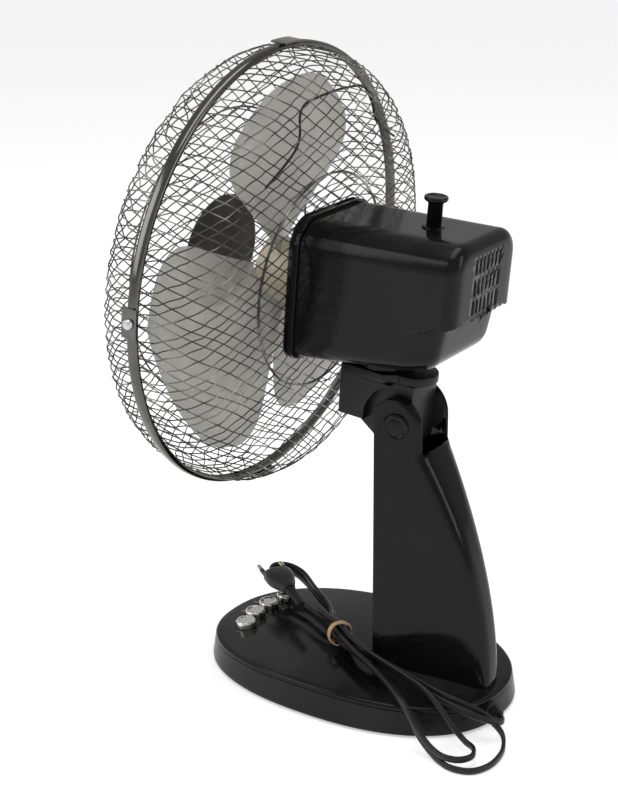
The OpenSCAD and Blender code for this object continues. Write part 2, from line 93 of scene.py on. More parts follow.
class Shape:
    """Collects vertices and faces of several parts into one piece."""

    def __init__(self):
        self.verts, self.faces, self.count = [], [], 0

    def add(self, verts, faces):
        verts = np.asarray(verts, float).reshape(-1, 3)
        self.verts.append(verts)
        self.faces.extend([tuple(i + self.count for i in f) for f in faces])
        self.count += len(verts)
        return self

    def loft(self, rings, caps=True, loop=False):
        rings = [np.asarray(r, float) for r in rings]
        n, m = len(rings[0]), len(rings)
        faces = [(j * n + i, j * n + (i + 1) % n, ((j + 1) % m) * n + (i + 1) % n, ((j + 1) % m) * n + i)
                 for j in range(m if loop else m - 1) for i in range(n)]
        if caps and not loop:
            faces += [tuple(range(n - 1, -1, -1)), tuple((m - 1) * n + i for i in range(n))]
        return self.add(np.concatenate(rings), faces)

    def turned(self, profile, n, to):
        """Profile of (radius, height) turned about the local axis; to() places x, y, z."""
        a = np.arange(n) * 2 * math.pi / n
        rings = [to(np.stack([r * np.cos(a), r * np.sin(a), np.full(n, h)], 1)) for r, h in profile]
        return self.loft(rings)

    def sweep(self, path, section, up=(0, 0, 1), loop=False, scale=None):
        """Section (m, 2) of across and up carried along the path."""
        path = np.asarray(path, float)
        n = len(path)
        t = np.roll(path, -1, 0) - np.roll(path, 1, 0) if loop else np.gradient(path, axis=0)
        t /= np.linalg.norm(t, axis=1)[:, None]
        up = np.broadcast_to(np.asarray(up, float), path.shape)
        v = up - (up * t).sum(1)[:, None] * t
        v /= np.linalg.norm(v, axis=1)[:, None]
        u = np.cross(t, v)
        k = np.ones(n) if scale is None else scale
        rings = [path[i] + k[i] * (section[:, :1] * u[i] + section[:, 1:] * v[i]) for i in range(n)]
        return self.loft(rings, caps=not loop, loop=loop)

    def box(self, lo, hi, to=lambda p: p):
        x0, y0, z0 = lo
        x1, y1, z1 = hi
        v = np.array([[x0, y0, z0], [x1, y0, z0], [x1, y1, z0], [x0, y1, z0],
                      [x0, y0, z1], [x1, y0, z1], [x1, y1, z1], [x0, y1, z1]], float)
        return self.add(to(v), [(3, 2, 1, 0), (4, 5, 6, 7), (0, 1, 5, 4), (1, 2, 6, 5), (2, 3, 7, 6),
            (3, 0, 4, 7)])

    def make(self, name, mat, body, **more):
        return piece(name, np.concatenate(self.verts), self.faces, mat, body, **more)


def circle(r, n=8, ry=None):
    a = np.arange(n) * 2 * math.pi / n
    return np.stack([r * np.cos(a), (ry or r) * np.sin(a)], 1)


def spline(points, step):
    """Smooth curve through the points, resampled at an even step."""
    p = np.asarray(points, float)
    p = np.concatenate([[2 * p[0] - p[1]], p, [2 * p[-1] - p[-2]]])
    out = []
    for i in range(1, len(p) - 2):
        a, b, c, d = p[i - 1], p[i], p[i + 1], p[i + 2]
        t0, t1 = 0.0, np.linalg.norm(b - a) ** 0.5
        t2 = t1 + np.linalg.norm(c - b) ** 0.5
        t3 = t2 + np.linalg.norm(d - c) ** 0.5
        for t in np.linspace(t1, t2, 24, endpoint=False):
            a1 = (t1 - t) / (t1 - t0) * a + (t - t0) / (t1 - t0) * b
            a2 = (t2 - t) / (t2 - t1) * b + (t - t1) / (t2 - t1) * c
            a3 = (t3 - t) / (t3 - t2) * c + (t - t2) / (t3 - t2) * d
            b1 = (t2 - t) / (t2 - t0) * a1 + (t - t0) / (t2 - t0) * a2
            b2 = (t3 - t) / (t3 - t1) * a2 + (t - t1) / (t3 - t1) * a3
            out.append((t2 - t) / (t2 - t1) * b1 + (t - t1) / (t2 - t1) * b2)
    out.append(p[-2])
    return evenly(np.array(out), step)


def evenly(path, step):
    d = np.concatenate([[0], np.cumsum(np.linalg.norm(np.diff(path, axis=0), axis=1))])
    n = max(2, int(round(d[-1] / step)) + 1)
    s = np.linspace(0, d[-1], n)
    return np.stack([np.interp(s, d, path[:, k]) for k in range(3)], 1)


# ---------- materials ----------
class V:
    """A socket with arithmetic."""

    def __init__(self, nodes, socket):
        self.n, self.s = nodes, socket

    def op(self, kind, *others):
        return self.n.add("ShaderNodeMath", {"operation": kind}, [self, *others])

    def __add__(self, o): return self.op("ADD", o)
    def __radd__(self, o): return self.op("ADD", o)
    def __mul__(self, o): return self.op("MULTIPLY", o)
    def __rmul__(self, o): return self.op("MULTIPLY", o)
    def __sub__(self, o): return self.op("SUBTRACT", o)
    def __rsub__(self, o): return self.n.add("ShaderNodeMath", {"operation": "SUBTRACT"}, [o, self])
    def __pow__(self, o): return self.op("POWER", o)
    def least(self, o): return self.op("MINIMUM", o)
    def size(self): return self.op("ABSOLUTE")

    def ramp(self, lo, hi, out_lo=0.0, out_hi=1.0):
        return self.n.add("ShaderNodeMapRange", {"interpolation_type": "SMOOTHSTEP"},
            [self, lo, hi, out_lo, out_hi])


class Nodes:
    def __init__(self, name):
        self.mat = bpy.data.materials.new(name)
        self.mat.use_nodes = True
        self.tree = self.mat.node_tree
        self.tree.nodes.clear()

    def add(self, kind, settings=None, inputs=(), out=0):
        node = self.tree.nodes.new(kind)
        for k, v in (settings or {}).items():
            setattr(node, k, v)
        items = inputs.items() if isinstance(inputs, dict) else enumerate(inputs)
        for k, v in items:
            if isinstance(v, V):
                self.tree.links.new(v.s, node.inputs[k])
            elif v is not None:
                node.inputs[k].default_value = v
        return V(self, node.outputs[out]) if node.outputs else None

    def noise(self, scale, detail=2.0, where=None, rough=0.5):
        return self.add("ShaderNodeTexNoise", {}, {"Vector": where, "Scale": scale, "Detail": detail,
            "Roughness": rough})

    def place(self):
        return self.add("ShaderNodeTexCoord", {}, {}, out=3)

    def split(self, v):
        node = self.tree.nodes.new("ShaderNodeSeparateXYZ")
        self.tree.links.new(v.s, node.inputs[0])
        return [V(self, o) for o in node.outputs]

    def mix(self, f, a, b):
        node = self.tree.nodes.new("ShaderNodeMix")
        node.data_type = "RGBA"
        for i, v in ((0, f), (6, a), (7, b)):
            if isinstance(v, V):
                self.tree.links.new(v.s, node.inputs[i])
            else:
                node.inputs[i].default_value = (*v, 1.0) if i else v
        return V(self, node.outputs[2])

    def bump(self, height, strength, distance):
        return self.add("ShaderNodeBump", {}, {"Strength": strength, "Distance": distance, "Height": height})

    def surface(self, **sockets):
        values = {k.replace("_", " "): v for k, v in sockets.items()}
        values.setdefault("Specular IOR Level", 0.25)
        for k in ("Base Color", "Emission Color", "Specular Tint"):
            if k in values and not isinstance(values[k], V):
                values[k] = (*values[k], 1.0)
        return self.add("ShaderNodeBsdfPrincipled", {}, values)

    def done(self, shader):
        self.add("ShaderNodeOutputMaterial", {}, {"Surface": shader})
        return self.mat


def black_gloss(name, rough=0.12, dust=0.5, scratches=0.5, tone=0.0035):
    n = Nodes(name)
    at = n.place()
    cloud = n.noise(14, 4, at)
    fine = n.noise(420, 2, at)
    stretched = n.add("ShaderNodeMapping", {}, {"Vector": at, "Rotation": (0.4, 0.9, 0.3),
        "Scale": (30, 30, 900)})
    lines = n.noise(1.0, 2, stretched).ramp(0.66, 0.74)
    specks = n.noise(900, 1, at).ramp(0.72, 0.78)
    dust_film_and_sheen = cloud.ramp(0.42, 0.75)
    # painted top sheen: the light grey cloud film is weighted towards upward-facing surfaces to paint the soft
    # light grey that the top light lays on them; the specks and the rest of the film are dust
    up = n.split(n.add("ShaderNodeNewGeometry", {}, {}, out=1))[2].ramp(0.3, 1.0)
    dust_and_top_sheen = (dust_film_and_sheen * 0.5 + specks * 0.7) * (up * 0.7 + 0.3) * dust
    # near-black tone mixed towards light grey by dust and by the painted top sheen, plus faint scratches
    color = n.mix((dust_and_top_sheen * 0.16 + lines * 0.03 * scratches).least(1.0), (tone, tone, tone * 1.12),
        (0.30, 0.29, 0.27))
    roughness = fine * 0.03 + dust_film_and_sheen * 0.10 * dust + lines * 0.16 * scratches + (rough - 0.02)
    return n.done(n.surface(Base_Color=color, Roughness=roughness, IOR=1.5, Specular_IOR_Level=0.17,
                            Normal=n.bump(fine + cloud * 3.0, 0.10, 0.0004)))


def plain(name, color, rough, metal=0.0, grain=300, depth=0.0003, strength=0.15, spread=0.25, coat=0.0):
    n = Nodes(name)
    at = n.place()
    f = n.noise(grain, 3, at)
    c = n.noise(22, 3, at)
    dark = tuple(v * (1 - spread) for v in color)
    return n.done(n.surface(Base_Color=n.mix(c.ramp(0.3, 0.7), dark, color),
        Roughness=c * 0.16 + f * 0.08 + (rough - 0.12),
                            Metallic=metal, Coat_Weight=coat, Normal=n.bump(f, strength, depth)))


def blade_material():
    n = Nodes("smoky blade")
    at = n.place()
    haze = n.noise(18, 3, at)
    dust = n.noise(500, 2, at)
    color = n.mix(haze.ramp(0.35, 0.7), (0.50, 0.485, 0.455), (0.60, 0.585, 0.55))
    solid = n.surface(Base_Color=color, Roughness=dust * 0.08 + haze * 0.1 + 0.14, Coat_Weight=0.3,
                      Normal=n.bump(haze, 0.06, 0.001))
    clear = n.add("ShaderNodeBsdfTransparent", {}, {"Color": (0.80, 0.795, 0.77, 1)})
    glow = n.add("ShaderNodeBsdfTranslucent", {}, {"Color": (0.62, 0.60, 0.56, 1)})
    lit = n.add("ShaderNodeMixShader", {}, [0.32, solid, glow])
    return n.done(n.add("ShaderNodeMixShader", {}, [haze * 0.06 + 0.26, lit, clear]))


def wire_material():
    n = Nodes("guard wire")
    at = n.place()
    f = n.noise(160, 3, at)
    worn = n.noise(30, 3, at).ramp(0.45, 0.68)
    color = n.mix(worn, (0.055, 0.054, 0.053), (0.30, 0.295, 0.285))
    return n.done(n.surface(Base_Color=color, Roughness=f * 0.14 + 0.16, Metallic=worn * 0.35 + 0.6,
                            Normal=n.bump(f, 0.2, 0.0002)))


MAT = {
    "gloss": black_gloss("black gloss plastic"),
    "column": black_gloss("column plastic", 0.10, 0.35, 0.35),
    "base": black_gloss("base plastic", 0.15, 0.9, 0.5),
    "base_side": black_gloss("base side plastic", 0.26, 1.0, 0.8, 0.007),
    "matte": plain("neck plastic", (0.008, 0.008, 0.0085), 0.40, grain=700, strength=0.3),
    "seam": plain("seam shadow", (0.004, 0.004, 0.004), 0.7),
    "cord": plain("cord sheath", (0.014, 0.014, 0.015), 0.34, grain=500, strength=0.2),
    "plug": plain("plug rubber", (0.016, 0.016, 0.017), 0.42, grain=600, strength=0.25),
    "pin": plain("pin brass", (0.60, 0.53, 0.38), 0.26, 1.0, spread=0.35),
    "pin_sleeve": plain("pin sleeve", (0.02, 0.02, 0.02), 0.45),
    "band": plain("rubber band", (0.55, 0.37, 0.20), 0.55, grain=260, strength=0.3),
    "chrome": plain("button chrome", (0.74, 0.73, 0.70), 0.16, 1.0, spread=0.12),
    "dark_chrome": plain("ring dark chrome", (0.13, 0.125, 0.12), 0.15, 1.0, spread=0.35),
    "zinc": plain("zinc screw", (0.52, 0.52, 0.50), 0.32, 1.0),
    "badge": plain("badge plate", (0.075, 0.068, 0.062), 0.5, 0.2, grain=120, strength=0.8, depth=0.0012,
        spread=0.6),
    "hub": plain("hub plastic", (0.56, 0.51, 0.38), 0.28, spread=0.2),
    "rubber": plain("foot rubber", (0.02, 0.02, 0.02), 0.6),
    "steel": plain("core steel", (0.28, 0.28, 0.30), 0.4, 0.9),
    "alloy": plain("cast alloy", (0.45, 0.45, 0.47), 0.45, 0.9),
    "copper": plain("copper wire", (0.50, 0.20, 0.07), 0.35, 0.9, grain=900, strength=0.5),
    "bronze": plain("sintered bronze", (0.42, 0.28, 0.12), 0.4, 0.9),
    "pale": plain("pale plastic", (0.68, 0.66, 0.58), 0.4),
    "iron": plain("ballast iron", (0.14, 0.13, 0.12), 0.6, 0.6),
    "plate": plain("base plate", (0.03, 0.03, 0.032), 0.45, 0.3),
    "print": plain("printed figure", (0.62, 0.62, 0.60), 0.5),
    "blade": blade_material(),
    "wire": wire_material(),
}

# ---------- camera, light and floor ----------
cam = bpy.data.objects.new("camera", bpy.data.cameras.new("camera"))
bpy.context.scene.collection.objects.link(cam)
back = Vector((math.sin(rad(124.1)) * math.cos(rad(20.29)), -math.cos(rad(124.1)) * math.cos(rad(20.29)),
    math.sin(rad(20.29))))
cam.location = Vector((0.02486, -0.03137, 0.23279)) + back * 1.32662
cam.rotation_mode = "QUATERNION"
right = Vector((0, 0, 1)).cross(back).normalized()
above = back.cross(right)
turn = rad(-0.44)
right, above = right * math.cos(turn) + above * math.sin(turn), above * math.cos(turn) - right * math.sin(turn)
cam.rotation_quaternion = Matrix((right, above, back)).transposed().to_quaternion()
cam.data.sensor_width = 36
cam.data.lens = 79.14
cam.data.clip_start, cam.data.clip_end = 0.01, 30
bpy.context.scene.camera = cam

world = bpy.data.worlds.new("studio")
bpy.context.scene.world = world
world.use_nodes = True
world.node_tree.nodes["Background"].inputs[0].default_value = (1, 1, 1, 1)
world.node_tree.nodes["Background"].inputs[1].default_value = 0.5
bpy.context.scene.view_settings.view_transform = "Standard"


def soft_light(name, place, aim, size, power, size_y=None):
    data = bpy.data.lights.new(name, "AREA")
    data.shape = "RECTANGLE"
    data.size, data.size_y, data.energy = size, size_y or size, power
    obj = bpy.data.objects.new(name, data)
    bpy.context.scene.collection.objects.link(obj)
    obj.location = place
    obj.rotation_mode = "QUATERNION"
    obj.rotation_quaternion = (Vector(aim) - Vector(place)).to_track_quat("-Z", "Y")
    return obj


soft_light("top light", (0.1, 0.0, 1.7), (0, 0, 0.2), 1.0, 12, 1.4)
soft_light("left light", (1.3, -1.1, 1.0), (0, 0, 0.25), 0.9, 9, 1.2)
soft_light("right light", (-0.2, 1.6, 0.8), (0, 0, 0.25), 0.5, 5, 1.1)

floor_nodes = Nodes("floor")
floor_mat = floor_nodes.done(floor_nodes.surface(Base_Color=(0.93, 0.93, 0.93), Roughness=0.75,
    Emission_Color=(1, 1, 1), Emission_Strength=0.42))
floor = piece("floor", [[-9000, -9000, 0], [9000, -9000, 0], [9000, 9000, 0], [-9000, 9000, 0]],
    [(0, 1, 2, 3)], floor_mat, None)

# ---------- mains cord ----------
BAND = np.array([22.0, -6.0, 40.5])
BAND_DIR = np.array([0.588, 0.809, 0.0])
BAND_SIDE = np.array([0.809, -0.588, 0.0])


def at_band(side, up, along=0.0):
    return list(BAND + BAND_SIDE * side + BAND_DIR * along + np.array([0, 0, up]))


tail_points = [(21, 136.5, 13), (25, 141, 13.3), (31, 142.5, 14.5), (38, 139, 17.5), (44, 130, 21),
    (48, 119, 25), (50, 107, 28.5),
               (49, 92, 31)]
turn_out = [(44, 70, 34), (39, 42, 38), (34, 20, 40)]
cord_points = tail_points + turn_out + [
    at_band(-4.4, -3.4, 8), at_band(-4.4, -3.4, -8), (4, -34, 37), (-12, -62, 36), (-24, -84, 37.5),
        (-31, -101, 40.5),
    (-38, -110, 42), (-46.5, -108, 42), (-49, -99, 41), (-44, -84, 39), (-26, -56, 37), (-4, -28, 39),
    at_band(1.6, -3.6, -8), at_band(1.6, -3.6, 8), (37, 18, 38), (48, 44, 36), (60, 66, 34), (69, 80, 32),
        (75.5, 90, 26),
    (78, 98, 15), (80, 108, 6), (86, 121, 3), (90, 135, 3), (86, 148, 3), (74, 155, 3), (60, 156, 3.2),
        (46, 153, 4), (37, 147, 9),
    (37, 134, 19), (42.5, 120, 27), (47, 102, 32.5), (45, 78, 36.5), (40, 48, 40), (37, 22, 42.5),
    at_band(-3.8, 2.6, 8), at_band(-3.8, 2.6, -8), (8, -34, 43), (-6, -62, 42), (-20, -88, 42.5),
        (-28, -104, 45),
    (-36, -112.5, 46.5), (-44.5, -112.5, 46.5), (-50.5, -104, 45.5), (-49, -90, 44), (-33, -66, 42),
        (-10, -36, 42.5),
    at_band(2.2, 2.8, -8), at_band(2.2, 2.8, 8), (40, 18, 42.5), (54, 46, 40), (66, 68, 37), (74, 82, 33),
        (79.5, 94, 25), (82, 106, 14),
    (85, 118, 8.5), (88, 128, 8.6), (85, 138, 8.6), (76, 143, 8.4), (66, 139, 8.4), (61, 129, 9),
        (59, 117, 17), (56.5, 104, 28), (52.5, 88, 36),
    (47, 66, 39.5), (41, 38, 43.5), (34, 16, 46), at_band(-1.5, 6.6, 7), at_band(-1.5, 6.6, -7),
        (13, -21, 46.5), (8, -34, 47.5)]
cord_path = spline(cord_points, 3.0)
# flat twin section, two cores side by side, standing on edge through the turns
twin = []
for a in np.linspace(0, 2 * math.pi, 16, endpoint=False):
    cx, cy = math.cos(a), math.sin(a)
    pinch = 1 - 0.12 * math.exp(-(cy / 0.28) ** 2)
    twin.append((1.72 * cx * pinch, 2.7 * abs(cy) ** 0.8 * math.copysign(1, cy)))
twin = np.array(twin)
cord_shape = Shape().sweep(cord_path, twin)
cord = cord_shape.make("mains_cord", MAT["cord"], "base", stands_for=("cord_hank", "cord_tail"),
    slot="cord_rubber", crease=50)

# the plug lies in the left loop with its relief towards the band
PLUG_AT = np.array([-13.0, -84.0, 51.2])
PLUG_DIR = np.array([-math.sin(rad(36)), -math.cos(rad(36)), 0.0])
PLUG_SIDE = np.array([math.cos(rad(36)), -math.sin(rad(36)), 0.0])


def at_plug(p):
    p = np.asarray(p, float).reshape(-1, 3)
    return PLUG_AT + p[:, :1] * PLUG_SIDE + p[:, 1:2] * np.array([0, 0, 1.0]) + p[:, 2:3] * PLUG_DIR


def plug_ring(z, hx, hy, n=28, square=2.6):
    a = np.arange(n) * 2 * math.pi / n
    x = hx * np.sign(np.cos(a)) * np.abs(np.cos(a)) ** (2 / square)
    y = hy * np.sign(np.sin(a)) * np.abs(np.sin(a)) ** (2 / square)
    return at_plug(np.stack([x, y, np.full(n, z)], 1))


plug = Shape()
plug.loft([plug_ring(*p) for p in [(17, 10.8, 5.4), (16.6, 11.6, 6.2), (15, 12, 6.8), (8, 12, 7),
    (4, 11.6, 7), (0, 10.4, 6.6), (-4, 9.2, 6.0),
                                   (-8, 7.4, 5.4), (-12, 6.0, 5.0), (-15.5, 5.2, 4.6), (-16.2, 4.7, 4.2)]])
plug_body = plug.make("plug_moulding", MAT["plug"], "base", stands_for=("plug_body",), slot="cord_rubber",
    crease=50)
relief = Shape()
relief_rings = []
for i in range(15):
    z = -15.5 - i * 1.9
    k = 1 - 0.022 * i
    for dz, w in ((0, 0.80), (0.35, 1.0), (1.15, 1.0), (1.5, 0.80)):
        relief_rings.append(plug_ring(z - dz, 4.5 * k * w, 3.7 * k * w, 16, 2.2))
relief.loft(relief_rings)
relief_obj = relief.make("plug_relief", MAT["plug"], "base", slot="cord_rubber", crease=28)
pins = Shape()
sleeves = Shape()
for s in (-9.5, 9.5):
    pins.turned([(1.9, 17), (1.9, 33.6), (1.7, 34.8), (1.2, 35.7), (0.5, 36)], 20, lambda p,
        s=s: at_plug(p + [s, 0, 0]))
    sleeves.turned([(2.0, 17), (2.0, 26.6), (1.9, 27)], 20, lambda p, s=s: at_plug(p + [s, 0, 0]))
pins_obj = pins.make("plug_pin_metal", MAT["pin"], "base", stands_for=("plug_pins",), slot="pin_brass")
sleeves_obj = sleeves.make("plug_pin_sleeves", MAT["pin_sleeve"], "base", slot="cord_rubber")

gland = Shape()
GL_AT, GL_DIR = np.array([4.0, 107.0, 13.0]), np.array([0.5, math.sqrt(3) / 2, 0.0])
GL_SIDE = np.array([GL_DIR[1], -GL_DIR[0], 0.0])


def at_gland(p):
    p = np.asarray(p, float).reshape(-1, 3)
    return GL_AT + p[:, :1] * GL_SIDE + p[:, 1:2] * np.array([0, 0, 1.0]) + p[:, 2:3] * GL_DIR


gland_profile = [(5.9, 17), (5.9, 24.4), (4.8, 24.9)]
for i in range(5):
    z, r = 25.2 + i * 1.75, 4.7 - i * 0.2
    gland_profile += [(r, z), (r, z + 1.0), (r - 0.7, z + 1.15), (r - 0.7, z + 1.6)]
gland_profile.append((3.2, 33.9))
gland.turned(gland_profile, 28, at_gland)
gland.make("outlet_relief", MAT["plug"], "base", stands_for=("cord_gland",), slot="cord_rubber", crease=28)

band = Shape()
for k, (shift, tilt) in enumerate(((-2.6, 0.16), (2.2, -0.12))):
    a = np.linspace(0, 2 * math.pi, 56, endpoint=False)
    rx, rz = 9.0 + 0.25 * k, 8.7 + 0.2 * k
    ring = np.array([BAND + BAND_SIDE * (rx * math.copysign(abs(math.cos(t)) ** 0.8,
        math.cos(t))) + np.array([0, 0, 1.6 + rz * math.copysign(abs(math.sin(t)) ** 0.85, math.sin(t))])
                     + BAND_DIR * (shift + tilt * 12 * math.sin(t + 0.6) + 0.5 * math.sin(3 * t)) for t in a])
    outward = ring - (BAND + np.array([0, 0, 1.6]))
    band.sweep(ring, np.array([(-1.5, -0.45), (1.5, -0.45), (1.6, 0), (1.5, 0.45), (-1.5, 0.45), (-1.6, 0)]),
        up=outward, loop=True)
band_obj = band.make("rubber_band", MAT["band"], "base", stands_for=("cord_band",), slot="band_rubber")

[v * MM for v in cord_points[0]]

# ---------- guards ----------
REAR = [(167, 3), (165.5, 18), (157, 31), (142, 40), (115, 44), (84, 46), (80, 44.2), (20, 44)]
FRONT = [(167, 3), (166, 18), (159, 33), (141, 43), (112, 48), (44, 50), (0, 50)]


def dome_depth(line, r):
    pts = sorted(line)
    return np.interp(r, [p[0] for p in pts], [p[1] for p in pts])


def wire_dome(name, line, side, inner, node, turn_deg):
    shape = Shape()
    section = circle(0.52, 5)
    pitch = 8.6
    for f, ang in enumerate((31 + turn_deg, -21 + turn_deg)):
        d = np.array([math.cos(rad(ang)), math.sin(rad(ang))])
        q = np.array([-d[1], d[0]])
        for k in range(-19, 20):
            off = k * pitch + 1.3 * math.sin(k * 1.7 + f)
            half = math.sqrt(max(0, 181 ** 2 - off * off))
            if half < 25 or abs(off) > 172:
                continue
            s = np.arange(-half, half + 1e-6, 3.6)
            flat = off * q + s[:, None] * d
            flat += (0.55 * np.sin(flat[:, 1:] * 0.05 + k) + 0.35 * np.sin(flat[:, :1] * 0.11 + k * 2.1)) * q
            rr = np.linalg.norm(flat, axis=1)
            # the outer part of the flat pattern is folded down the side of the dome
            fold = np.clip(rr, 0, 181.0)
            r = np.where(fold < 128, fold, 128 + 39.0 * np.sin(np.clip((fold - 128) / 53.0, 0,
                1) * math.pi / 2))
            keep = rr <= 181.0
            weave = 0.42 * np.sin(s * math.pi / pitch + f * math.pi)
            depth = dome_depth(line, r) + weave
            a = np.degrees(np.arctan2(flat[:, 1], flat[:, 0]))
            pts = head(disc(r, a, -134 + side * depth))
            if inner:
                keep &= r > inner
            runs, start = [], None
            for i in range(len(keep) + 1):
                on = i < len(keep) and keep[i]
                if on and start is None:
                    start = i
                if not on and start is not None:
                    if i - start > 3:
                        runs.append((start, i))
                    start = None
            for a0, a1 in runs:
                shape.sweep(pts[a0:a1], section, up=(0, 0.99, 0.1))
    # stiffening circles
    for r, w in (((82, 1.0), (24, 1.1)) if inner else ((113, 0.8),)):
        a = np.arange(0, 360, 4.0)
        loop = head(disc(r, a, -134 + side * (dome_depth(line, r) - 0.2)))
        shape.sweep(loop, circle(w, 6), up=(0, 0.99, -0.1), loop=True)
    return shape.make(name, MAT["wire"], "head", stands_for=(node,), slot="guard_wire", crease=80)


wire_dome("rear_wire_guard", REAR, 1, 26, "rear_guard", 0)
wire_dome("front_wire_guard", FRONT, -1, 0, "front_guard", 3)

a = np.arange(0, 360, 2.0)
ring = Shape()
band_line = np.array([(167.2, -4.0), (168.9, -4.2), (170.6, -3.4), (171.4, -1.6), (171.0, 0), (171.4, 1.6),
    (170.6, 3.4), (168.9, 4.2), (167.2, 4.0), (168.2, 0)])
ring.loft([head(disc(np.full(len(a), p[0]), a, -134 + p[1])) for p in band_line], loop=True)
ring.make("guard_trim_ring", MAT["dark_chrome"], "head", stands_for=("guard_ring",), slot="dark_chrome",
    crease=60)

# clip plates lie on the band from CLIP_IN to CLIP_OUT
CLIP_IN, CLIP_OUT, RING_Y = 171.5, 172.9, -134
clips = Shape()
heads = Shape()
for centre in (-90, 0, 90, 180):
    span = 11 / 171 * 180 / math.pi
    aa = np.linspace(centre - span, centre + span, 11)
    clips.loft([head(disc([CLIP_IN, CLIP_IN, CLIP_OUT, CLIP_OUT], [b] * 4,
                          RING_Y + np.array([-6.4, 6.4, 6.4, -6.4]))) for b in aa])
    if centre in (0, 180):
        def on_ring(p, centre=centre):
            c, s = math.cos(rad(centre)), math.sin(rad(centre))
            return head(np.stack([(172.8 + p[:, 2]) * c, -134 + p[:, 0], 85 + p[:, 1]], 1))
        heads.turned([(4.0, 0), (4.0, 1.6), (3.4, 2.6), (1.6, 3.1), (0.3, 3.2)], 24, on_ring)
clips.make("ring_clip_plates", MAT["dark_chrome"], "head", stands_for=("ring_clips",), slot="dark_chrome")
heads.make("clip_screw_heads", MAT["zinc"], "head", stands_for=("clip_screws",), slot="zinc_steel")

badge = Shape().turned([(44.8, -1.6), (45, -2.6), (44.2, -3.4), (41, -3.7), (40.5, -3.2), (30, -3.5),
    (0.5, -4.3)][::-1], 96,
                       lambda p: head(np.stack([p[:, 0], -134 - 47.4 + p[:, 2], 85 - p[:, 1]], 1)))
badge.make("guard_badge", MAT["badge"], "head", stands_for=("badge",), slot="badge_plate")

# bent wire that stiffens the upper side of the rear guard
brace_flat = [(116, 48), (113, 59), (116, 69), (121, 72), (136, 75), (140, 78), (140, 85), (142, 98),
    (146, 112), (140, 116), (129, 121), (129, 129), (134, 137)]
brace = spline([head(disc(r, an, -134 + float(dome_depth(REAR, r)) - 2.0))[0] for r, an in brace_flat], 3)
Shape().sweep(brace, circle(0.95, 7), up=(0, 0.99, -0.1)).make("guard_brace", MAT["matte"], "head",
    slot="black_matte")

# ---------- impeller ----------
blades = Shape()
NS, NU = 30, 30
for k in range(3):
    grid = {}
    for side_off in (0.75, -0.75):
        pts = []
        for j in range(NS + 1):
            s = j / NS
            r = 23.5 + (147.8 - 23.5) * s
            span = 90 + 10 * s - 42 * s ** 9 - 14 * max(0, s - 0.93) / 0.07
            for i in range(NU + 1):
                u = i / NU
                local = 27 + (u - 0.5) * span + k * 120
                y = -128 + (u - 0.5) * 20 + side_off * (1 - 0.6 * s) + 2.5 * s * (1 - (2 * u - 1) ** 2)
                pts.append(head(disc(r, -local, y))[0])
        grid[side_off] = np.array(pts)
    n = (NS + 1) * (NU + 1)
    quads = [(j * (NU + 1) + i, j * (NU + 1) + i + 1, (j + 1) * (NU + 1) + i + 1,
        (j + 1) * (NU + 1) + i) for j in range(NS) for i in range(NU)]
    edge = ([j * (NU + 1) for j in range(NS + 1)] + [NS * (NU + 1) + i for i in range(1, NU + 1)]
            + [j * (NU + 1) + NU for j in range(NS - 1, -1, -1)] + [i for i in range(NU - 1, 0, -1)])
    rim = [(edge[i], edge[(i + 1) % len(edge)], edge[(i + 1) % len(edge)] + n,
        edge[i] + n) for i in range(len(edge))]
    blades.add(np.concatenate([grid[0.75], grid[-0.75]]),
        quads[:] + [tuple(v + n for v in f[::-1]) for f in quads] + [f[::-1] for f in rim])


def on_axis(y0):
    return lambda p: head(np.stack([p[:, 0], y0 + p[:, 2], 85 - p[:, 1]], 1))


hub = Shape()
hub.turned([(22, 14), (22, 23.9), (23.7, 24), (24, 23), (24, -4), (23.2, -7), (21, -8), (10, -8), (4.1, -8),
    (4.1, -5), (20, -5), (22, -3), (22, 14)], 64, on_axis(-128))
for k in range(12):
    t = rad(k * 30)
    hub.box((4.1, -0.6, -5), (22, 0.6, 16), lambda p, t=t: on_axis(-128)(np.stack([p[:,
        0] * math.cos(t) - p[:, 1] * math.sin(t), p[:, 0] * math.sin(t) + p[:, 1] * math.cos(t), p[:, 2]],
        1)))
blades.make("fan_blades", MAT["blade"], "rotor", stands_for=("impeller",), slot="smoke_blade", crease=60)
hub.make("fan_hub", MAT["hub"], "rotor", slot="hub_plastic")
nut = Shape()
nut_profile = [(4.1, 8), (11.8, 8), (11.9, 7), (10.2, 1), (9.2, 0), (0.2, 0)]
nut.turned(nut_profile, 36, on_axis(-144))
nut.make("blade_nut", MAT["hub"], "rotor", stands_for=("impeller_nut",), slot="hub_plastic", crease=25)

# ---------- motor housing ----------
COVER_FRONT = -89.0


def cover_outline(y, inset, n=24):
    f = (y - COVER_FRONT) / 136.0
    w, lo, hi = 48 - 3 * f - inset, 35 + 20 * f + inset, 141 + 9 * f - inset
    rt, rb = max(4, 20 - inset), max(4, 13 - inset)
    out = []
    for cx, cz, r, a0 in ((w - rb, lo + rb, rb, -90), (w - rt, hi - rt, rt, 0), (-w + rt, hi - rt, rt, 90),
        (-w + rb, lo + rb, rb, 180)):
        for t in np.linspace(0, 90, 8):
            out.append((cx + r * math.cos(rad(a0 + t)), cz + r * math.sin(rad(a0 + t))))
    # even points along the outline
    p = np.array(out + out[:1])
    d = np.concatenate([[0], np.cumsum(np.linalg.norm(np.diff(p, axis=0), axis=1))])
    s = np.linspace(0, d[-1], n * 4, endpoint=False)
    return np.stack([np.interp(s, d, p[:, 0]), np.full(len(s), y), np.interp(s, d, p[:, 1])], 1)


